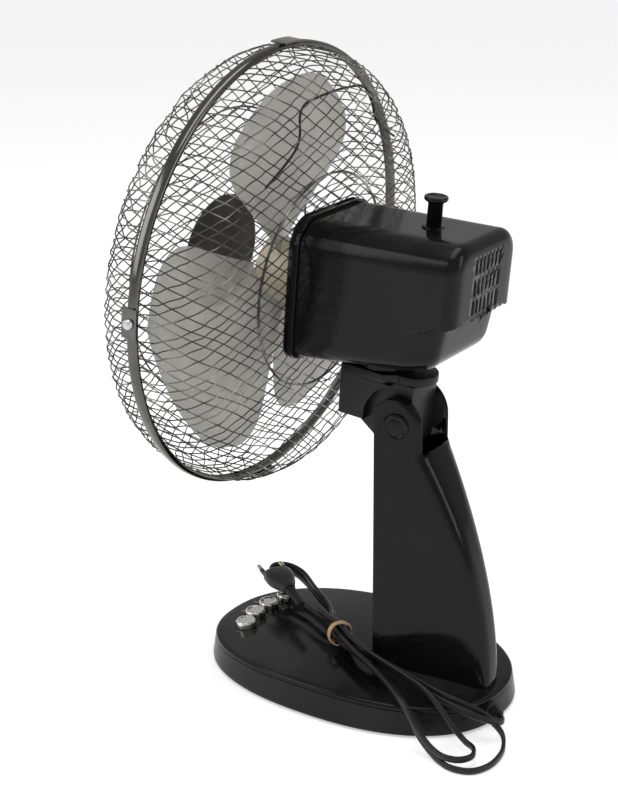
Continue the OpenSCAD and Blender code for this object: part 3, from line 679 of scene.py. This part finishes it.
def lip_recess(p):
    """The lower rear part of the housing is set back under a lip that fades out along the sides."""
    q = p.copy()
    x, y, z = q[:, 0], q[:, 1], q[:, 2]
    lip = 91 - (47 - y) * 0.24
    under = np.clip((lip - z) / 1.6, 0, 1)
    reach = np.clip((y - 8) / 26, 0, 1) ** 1.1
    q[:, 0] = x * (1 - 0.055 * under * reach)
    lower = np.interp(z, [30, 48, 84, 92], [20.0, 15.5, 10.0, 9.0])
    q[:, 1] = y - under * lower * np.clip((y - 8) / 34, 0, 1) ** 1.3
    return q


def cover_skin(inset, y0, steps, rear_inset):
    rings = [cover_outline(y, inset, 40) for y in np.linspace(y0, 20, steps)]
    rings += [cover_outline(y, inset, 40) for y in np.linspace(20, 39, 14)[1:]]
    rings += [cover_outline(47 - rear_inset + dy, inset + di, 40) for dy, di in
              ((-6.6, 0.3), (-5.4, 0.8), (-4.2, 1.5), (-3.0, 2.6), (-2.0, 3.8), (-1.2, 5.2), (-0.6, 6.8),
                  (-0.2, 8.4), (0, 10), (0, 16), (0, 24), (0, 32), (0, 40))]
    return [lip_recess(r) for r in rings]


rings = cover_skin(0, -79.9, 12, 0)
inner_rings = cover_skin(2.4, -79.9, 6, 2.4)
shell = Shape()
n0 = len(rings[0])
shell.loft(rings + inner_rings[::-1], caps=False)
# close the front lip of the shell and the middle of the rear face
m_all = len(rings) + len(inner_rings)
shell.faces = [f for f in shell.faces if not (f[0] // n0 == len(rings) - 1)]
shell.faces += [tuple(range(n0 * (len(rings) - 1), n0 * len(rings))),
    tuple(range(n0 * len(rings) + n0 - 1, n0 * len(rings) - 1, -1))]
shell.faces += [((m_all - 1) * n0 + i, (m_all - 1) * n0 + (i + 1) % n0, (i + 1) % n0, i) for i in range(n0)]
housing = shell.make("motor_housing", MAT["gloss"], "head", stands_for=("motor_cover",), slot="black_gloss",
    crease=32, at=head)

slots = Shape()
for row in range(3):
    for col in range(-3, 4):
        x, z = col * 5.6, 96 + row * 15
        ring_xz = [(x + dx, z + dz) for dx, dz in ((-1.15, 1.2), (-0.6, 0.2), (0.6, 0.2), (1.15, 1.2),
            (1.15, 10.8), (0.6, 11.8), (-0.6, 11.8), (-1.15, 10.8))]
        slots.loft([head([(px, y, pz) for px, pz in ring_xz]) for y in (36, 56)])
cutter = slots.make("vent_cutter", MAT["seam"], None)
cut = housing.modifiers.new("vents", "BOOLEAN")
cut.operation, cut.solver, cut.object = "DIFFERENCE", "EXACT", cutter
bpy.context.view_layer.update()
dg = bpy.context.evaluated_depsgraph_get()
cut_mesh = bpy.data.meshes.new_from_object(housing.evaluated_get(dg))
housing.modifiers.clear()
old = housing.data
housing.data = cut_mesh
bpy.data.meshes.remove(old)
bpy.data.objects.remove(cutter)

screws = Shape()
for side in (-28, 28):
    screws.turned([(0.2, 0), (1.6, 0), (1.6, 38), (3.0, 38), (3.0, 39.2), (2.5, 40.0), (1.2, 40.2),
        (0.9, 39.4), (0.2, 39.4)][::-1], 24,
                  lambda p, side=side: head(np.stack([p[:, 0] + side, p[:, 2] - 6.3, 74 + p[:, 1]], 1)))
screws.make("housing_screws", MAT["zinc"], "head", stands_for=("cover_screws",), slot="zinc_steel")

collar = Shape()
collar.turned([(12.5, 0), (23, 0.0), (23, 9.8), (12.5, 9.8)], 64, lambda p: head(p + [0, -28, 36.6]))
collar.turned([(6, 0), (8.5, 0), (8.5, 4.4), (7.6, 5.0), (6, 5.0)], 48, lambda p: head(p + [0, 1, 143.1]))
collar.make("housing_collars", MAT["gloss"], "head", slot="black_gloss")

flange = Shape()
flange_rings = []
for dy, out in ((0, -4), (0, -1.2), (0.3, -0.2), (1.0, 0.5), (3.4, 1.3), (5.0, 1.9), (7.2, 2.2), (8.6, 2.2),
    (8.9, 1.8), (8.95, -2)):
    flange_rings.append(cover_outline(COVER_FRONT + dy, -out, 40))
flange.loft(flange_rings, caps=False)
flange.turned([(11.7, -14), (11.7, 2), (8.2, 2), (8.2, -14), (11.7, -14)], 48, on_axis(-89))
n1 = len(flange_rings[0])
plate_outer = cover_outline(COVER_FRONT, 4, 40)
piece("housing_flange", head(np.concatenate(flange.verts[:1])),
    [f for f in flange.faces if max(f) < n1 * len(flange_rings)],
                   MAT["gloss"], "head", stands_for=("front_cover",), slot="black_gloss", crease=35)
face = Shape()
ang = np.arctan2(plate_outer[:, 2] - 85, plate_outer[:, 0])
hole_pts = np.stack([11.7 * np.cos(ang), np.full(n1, COVER_FRONT), 85 + 11.7 * np.sin(ang)], 1)
back_pts = hole_pts + [0, 2.2, 0]
outer_back = plate_outer + [0, 2.2, 0]
face.loft([plate_outer, hole_pts, back_pts, outer_back], loop=True, caps=False)
tubes = Shape().turned([(8.2, 1), (11.7, 1), (11.7, -14), (8.2, -14), (8.2, 1)], 48, on_axis(-89))
face.make("housing_front_plate", MAT["gloss"], "head", slot="black_gloss", at=head)
tubes.make("guard_spigot", MAT["gloss"], "head", slot="black_gloss")
# small ribs round the back edge of the flange
ribs = Shape()
rib_line = cover_outline(COVER_FRONT + 3.4, -1.2, 120)
for i in range(0, len(rib_line), 3):
    p = rib_line[i]
    out_dir = np.array([p[0], 0, p[2] - 88.0])
    out_dir /= np.linalg.norm(out_dir)
    c = p + out_dir * 0.35
    ribs.box((-0.9, -2.4, -0.5), (0.9, 1.2, 0.5), lambda q, c=c,
        o=out_dir: head(np.stack([c[0] + q[:, 0] * o[2] + q[:, 2] * o[0], c[1] + q[:, 1],
        c[2] - q[:, 0] * o[0] + q[:, 2] * o[2]], 1)))
ribs.make("flange_ribs", MAT["gloss"], "head", slot="black_gloss")

knob = Shape()
knob.turned([(0.2, 168.8), (5, 168.9), (6.2, 169.3), (7.6, 170.0), (8.4, 169.7), (8.75, 169.0), (8.7, 167.6),
    (8.1, 166.8), (6.2, 166.0), (5.5, 164.6), (5.45, 135), (5.0, 134), (3.0, 134), (3.0, 116),
    (0.2, 116)][::-1],
            56, lambda p: head(p + [0, 1, 0]))
knob.make("swing_knob", MAT["gloss"], "knob", stands_for=("osc_knob",), slot="black_gloss", crease=40)

# ---------- neck ----------
def rounded_outline(pts, r, n=5):
    """Polygon of (a, b) points with its corners rounded."""
    pts = [np.array(p, float) for p in pts]
    out = []
    for i, p in enumerate(pts):
        a, b = pts[i - 1] - p, pts[(i + 1) % len(pts)] - p
        ra = min(r, np.linalg.norm(a) * 0.45, np.linalg.norm(b) * 0.45)
        p0, p1 = p + a / np.linalg.norm(a) * ra, p + b / np.linalg.norm(b) * ra
        out += [(1 - t) ** 2 * p0 + 2 * t * (1 - t) * p + t * t * p1 for t in np.linspace(0, 1, n)]
    return np.array(out)


def slab(shape, outline, x0, x1, edge=1.0, to=head, inset=0.9):
    """A plate with the outline in (y, z), from x0 to x1, with softened edges."""
    c = outline.mean(0)
    rings = []
    for x, k in ((x0, inset), (x0 + edge * 0.35, inset * 0.35), (x0 + edge, 0), (x1 - edge, 0),
        (x1 - edge * 0.35, inset * 0.35), (x1, inset)):
        d = outline - c
        o = outline - d / np.linalg.norm(d, axis=1)[:, None] * k
        rings.append(to(np.stack([np.full(len(o), x), o[:, 0], o[:, 1]], 1)))
    shape.loft(rings)


neck = Shape()
# front block, cut away round the column's cheeks
arc_edge = [(30.2 * math.cos(rad(t)), 30.2 * math.sin(rad(t))) for t in np.linspace(187.4, 106, 22)]
slab(neck, np.array([(-51.7, -3.9)] + arc_edge + [(-8.4, 29.3), (-52.3, 29.3)]), -24.4, 24.4, 1.0)
slab(neck, rounded_outline([(-40.5, -3.9), (-22, -17), (-7, -20), (5, -20), (7, -18), (7, 30), (-40, 30)],
    2.5), -17.6, 17.6, 1.0)
# swivel seat on top, rounded at the back
plan = [(-24.9, -15.5), (-24.9, -50.4), (-24.3, -51.8), (-22.9, -52.4), (22.9, -52.4), (24.3, -51.8),
    (24.9, -50.4), (24.9, -15.5)]
plan += [(18 * math.cos(rad(t)), -3 + 18 * math.sin(rad(t))) for t in np.linspace(-12, 192, 34)]
plan = np.array(plan)
seat_rings = []
for z, k in ((29.3, 1.2), (29.4, 0.3), (29.9, 0), (35.2, 0), (35.8, 0.3), (36, 1.0)):
    d = plan - plan.mean(0)
    o = plan - d / np.linalg.norm(d, axis=1)[:, None] * k
    seat_rings.append(head(np.stack([o[:, 0], o[:, 1], np.full(len(o), z)], 1)))
neck.loft(seat_rings)
neck.make("tilt_neck", MAT["matte"], "neck", stands_for=("neck_block",), slot="black_matte", crease=30)

# ---------- column ----------
PZ, PY = 228.0, 46.0


def sail(z):
    return 119 - (119 - PY - 12) * max(0, (z - 32) / 192) ** 1.8


def lobe(z):
    return PY + math.sqrt(max(0, 21 * 21 - max(0, z - PZ) ** 2))


def half_width(y):
    return 30 - (y - 29) * 19 / 90


def column_ring(z, inset, n=10):
    yb = max(sail(z), lobe(z)) - inset
    y0 = max(29.0, 2 * PY - lobe(z)) + inset * 0.6
    r = min(9, (yb - y0) / 2)
    start = np.array([half_width(yb - r) - inset, yb - r])
    corner, end = np.array([half_width(yb) - inset, yb]), np.array([(half_width(yb) - inset) * 0.25, yb])
    side = [np.array([half_width(y0) - inset - 0.9, y0]),
        np.array([half_width(y0) - inset - 0.25, y0 + 0.25]),
        np.array([half_width(y0 + 0.9) - inset, y0 + 0.9])]
    side += [side[-1] + (start - side[-1]) * t for t in np.linspace(0, 1, 8)[1:-1]]
    curve = [(1 - t) ** 2 * start + 2 * t * (1 - t) * corner + t * t * end for t in np.linspace(0, 1, n)]
    h = side + curve
    pts = [(-p[0], p[1]) for p in h] + [(p[0], p[1]) for p in h[::-1]]
    return [(p[0], p[1], z) for p in pts]


def foot_ring():
    ring = column_ring(34, 0)
    return [(x, y, crown(x, y) + 0.05) for x, y, _ in ring]


col = Shape()
heights = list(np.linspace(38, 226, 34)) + [PZ + 20.2 * math.sin(rad(t)) for t in range(4, 88, 6)]
outer_rings = [foot_ring()] + [column_ring(z, 0) for z in heights] + [column_ring(PZ + 20.6, 0.6),
    column_ring(PZ + 20.7, 2.0)]
col.loft(outer_rings)
column = col.make("column_body", MAT["column"], "base", stands_for=("column_shell",), slot="black_gloss",
    crease=32)
hollow = Shape()
hollow.loft([column_ring(z, 2.6) for z in np.linspace(20, 223, 24)])
hollow.box((-27, 20, 34), (27, 32.2, 190))
hollow_obj = hollow.make("hollow_cutter", MAT["seam"], None)
fork = Shape()
fork.box((-19, 10, 197), (19, 46.0, 300))
fork.box((-18.99, 45, 212), (18.99, 150, 300))
fork_obj = fork.make("fork_cutter", MAT["seam"], None)
fork2 = Shape().turned([(0.1, -19), (28.5, -19), (28.5, 19), (0.1, 19)], 72,
    lambda p: np.stack([p[:, 2], PY + p[:, 0], PZ + p[:, 1]], 1))
fork2_obj = fork2.make("fork_round_cutter", MAT["seam"], None)
pockets = Shape()
for s in (-1, 1):
    pockets.turned([(0.1, 22), (6.5, 22), (6.5, 34), (0.1, 34)], 32, lambda p,
        s=s: np.stack([s * p[:, 2], PY + p[:, 0] * s, PZ + p[:, 1]], 1))
pocket_obj = pockets.make("pocket_cutter", MAT["seam"], None)


def carve(obj, *cutters):
    for c in cutters:
        m = obj.modifiers.new(c.name, "BOOLEAN")
        m.operation, m.solver, m.object = "DIFFERENCE", "EXACT", c
        m.use_self = True
    bpy.context.view_layer.update()
    made = bpy.data.meshes.new_from_object(obj.evaluated_get(bpy.context.evaluated_depsgraph_get()))
    obj.modifiers.clear()
    before = obj.data
    obj.data = made
    bpy.data.meshes.remove(before)
    for c in cutters:
        bpy.data.objects.remove(c)


carve(column, hollow_obj, fork_obj, fork2_obj, pocket_obj)

panel = Shape()
front_rings = []
for y, k in ((29.05, 0.5), (29.5, 0.0), (31.1, 0.0)):
    front_rings.append([(x, y, z) for x, z in rounded_outline([(-26.6 + k, 30.4), (26.6 - k, 30.4),
        (26.6 - k, 195.9 - k), (-26.6 + k, 195.9 - k)], 2.0)])
panel.loft(front_rings)
panel.make("column_front_panel", MAT["column"], "base", stands_for=("column_front",), slot="black_gloss",
    crease=30)

caps = Shape()
for s in (-1, 1):
    th = math.atan(19 / 90)

    def on_cheek(p, s=s, th=th):
        # local z runs out of the slanted cheek
        out = np.array([s * math.cos(th), math.sin(th), 0])
        along = np.array([-s * math.sin(th), math.cos(th), 0])
        c = np.array([s * half_width(PY), PY, PZ])
        return c + p[:, 2:3] * out + p[:, :1] * along * s + p[:, 1:2] * np.array([0, 0, 1.0])
    caps.turned([(0.2, 0.06), (9.9, 0.06), (10, 0.8), (9.7, 1.5), (9.0, 2.1), (8.4, 2.35), (7.8, 2.0),
        (7.1, 1.7), (6.0, 1.95), (3.0, 2.5), (0.2, 2.7)], 56, on_cheek)
caps.make("pivot_cap_pair", MAT["gloss"], "base", stands_for=("pivot_caps",), slot="black_gloss", crease=40)

# ---------- base ----------
def oval(half_l, half_w, n=144):
    t = np.arange(n) * 2 * math.pi / n
    c, s = np.cos(t), np.sin(t)
    return np.stack([half_w * np.sign(c) * np.abs(c) ** (2 / 2.3),
        half_l * np.sign(s) * np.abs(s) ** (2 / 2.3)], 1)


def base_ring(inset, drop=None, z=None):
    o = oval(128 - inset, 84 - inset)
    return [(x, y, (crown(x, y) - drop) if z is None else z) for x, y in o]


def side_inset(f):
    return 3.0 * f * 0.72


BUTTONS = [((i - 1.5) * 19.0, 5 * (abs(i - 1.5) / 1.5) ** 2 - 97) for i in range(4)]
skin = Shape()
low = [base_ring(2.6, z=3.2), base_ring(0.5, z=2.05), base_ring(0.1, z=2.6), base_ring(0.05, z=4.0)]
side = []
for f in np.linspace(0.1, 1, 8):
    o = oval(128 - side_inset(f), 84 - side_inset(f))
    side.append([(x, y, 4 + f * (crown(x, y) - 4.6 - 4)) for x, y in o])
side_rings = low + side
skin.loft(side_rings, caps=False)
skin.make("base_side_wall", MAT["base_side"], "base", slot="black_gloss", crease=35)
groove = Shape()
groove.loft([base_ring(2.3, 4.6), base_ring(3.2, 4.5), base_ring(3.2, 4.0), base_ring(2.3, 3.95)], caps=False)
groove.make("base_seam", MAT["seam"], "base", slot="black_matte")
top = Shape()
tops = [base_ring(2.3, 3.95), base_ring(2.25, 3.5), base_ring(2.35, 2.4), base_ring(2.6, 1.4),
    base_ring(3.1, 0.7), base_ring(3.9, 0.25), base_ring(5.0, 0.06)]
tops += [[(x, y, crown(x, y)) for x, y in oval((128 - 5) * k, (84 - 5) * k)] for k in np.linspace(0.985, 0.02,
    30)]
top.loft([[(x, y, z) for x, y, z in r] for r in tops] + [[(x, y, z - 2.4) for x, y,
    z in r] for r in tops[:6:-1]] + [base_ring(5.2, 4.0)], caps=False)
nt = len(tops[0])
mt = len(tops) + len(tops[:6:-1]) + 1
top.faces.append(tuple(range(nt - 1, -1, -1)))
top.faces = top.faces[:-1] + [((mt - 1) * nt + i, (mt - 1) * nt + (i + 1) % nt, (i + 1) % nt,
    i) for i in range(nt)]
j0 = len(tops)
# join the upper and lower skins at the middle with small plugs
top.faces = [f for f in top.faces if not (f[0] // nt == j0 - 1 and f[2] // nt == j0)]
top.faces += [tuple(range((j0 - 1) * nt, j0 * nt)), tuple(range((j0 + 1) * nt - 1, j0 * nt - 1, -1))]
base_top = top.make("base_cover_top", MAT["base"], "base", stands_for=("base_cover",), slot="black_gloss",
    crease=30)
holes = Shape()
for x, y in BUTTONS:
    holes.turned([(0.1, 12), (8.4, 12), (8.4, 45), (0.1, 45)], 40, lambda p, x=x, y=y: p + [x, y, 0])
holes_obj = holes.make("button_hole_cutter", MAT["seam"], None)
carve(base_top, holes_obj)

for i, (x, y) in enumerate(BUTTONS):
    t = crown(x, y) + 6.5
    b = Shape()
    b.turned([(3, t - 24 + 4), (3, t - 13), (7.9, t - 13), (8, t - 12.6), (8, t - 1.3), (7.85, t - 0.7),
        (7.4, t - 0.2), (6.9, t - 0.05), (6.4, t - 0.25), (5.6, t - 0.9), (4, t - 1.25), (0.1, t - 1.35)],
             48, lambda p, x=x, y=y: p + [x, y, 0])
    b.make(f"push_button_{i}", MAT["chrome"], f"button_{i}", stands_for=(f"button_{i}",),
        slot="button_chrome", crease=40)

FIGURES = {0: [[(-1, -1.6), (-1, 1.6), (0, 2.1), (1, 1.6), (1, -1.6), (0, -2.1), (-1, -1.6)]],
           1: [[(-0.7, 1.2), (0.2, 2.1), (0.2, -2.1)]],
           2: [[(-1, 1.3), (-0.4, 2.1), (0.6, 2.1), (1, 1.3), (0.9, 0.5), (-1.1, -2.1), (1.2, -2.1)]],
           3: [[(-1, 1.6), (0, 2.1), (1, 1.5), (0.8, 0.4), (-0.1, 0.1), (0.9, -0.3), (1.1, -1.4), (0, -2.1),
               (-1.1, -1.6)]]}
figures = Shape()
for i, (x, y) in ((0, (-33, -108)), (1, (-15, -113)), (2, (5, -111.5)), (3, (24, -104.5))):
    for line in FIGURES[i]:
        pts = evenly(np.array([(x - px, y - py, crown(x - px, y - py) + 0.03) for px, py in line], float),
            0.6)
        figures.sweep(pts, np.array([(-0.28, -0.02), (0.28, -0.02), (0.28, 0.03), (-0.28, 0.03)]),
            up=(0, 0, 1))
figures.make("speed_figures", MAT["print"], "base", slot="pale_plastic")
# shallow raised arc behind the buttons
arc = np.array([(x, y, crown(x, y) + 0.1) for x, y in [(34 - 4.0 * k,
    -81.5 - 5 * math.sin(k / 17 * math.pi)) for k in np.linspace(0, 17, 40)]])
Shape().sweep(arc, np.array([(-0.7, -0.4), (0.7, -0.4), (0.45, 0.25),
    (-0.45, 0.25)])).make("button_panel_edge", MAT["base"], "base", slot="black_gloss")

# ---------- parts kept from the frame ----------
KEPT = {
    "base_plate": "plate", "ballast_plate": "iron", "rubber_feet": "rubber", "base_screws": "zinc",
        "switch_body": "pale",
    "column_screws": "zinc", "tilt_bolt": "zinc", "tilt_nut": "zinc", "friction_washers": "rubber",
        "swivel_spindle": "zinc",
    "swivel_washer": "bronze", "crank_link": "zinc", "stator_core": "steel", "windings": "copper",
    "front_bracket": "alloy", "rear_bracket": "alloy", "shaft_bushes": "bronze", "motor_bolts": "zinc",
        "run_capacitor": "pale",
    "gearbox_case": "alloy", "worm_wheel": "pale", "crank_gear": "pale", "rotor_core": "steel",
        "motor_shaft": "zinc",
    "guard_nut": "matte"}
for node, key in KEPT.items():
    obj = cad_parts[node]
    obj.data.materials.clear()
    obj.data.materials.append(MAT[key])
    obj.data.shade_smooth()
    obj.data.set_sharp_from_angle(angle=rad(35))
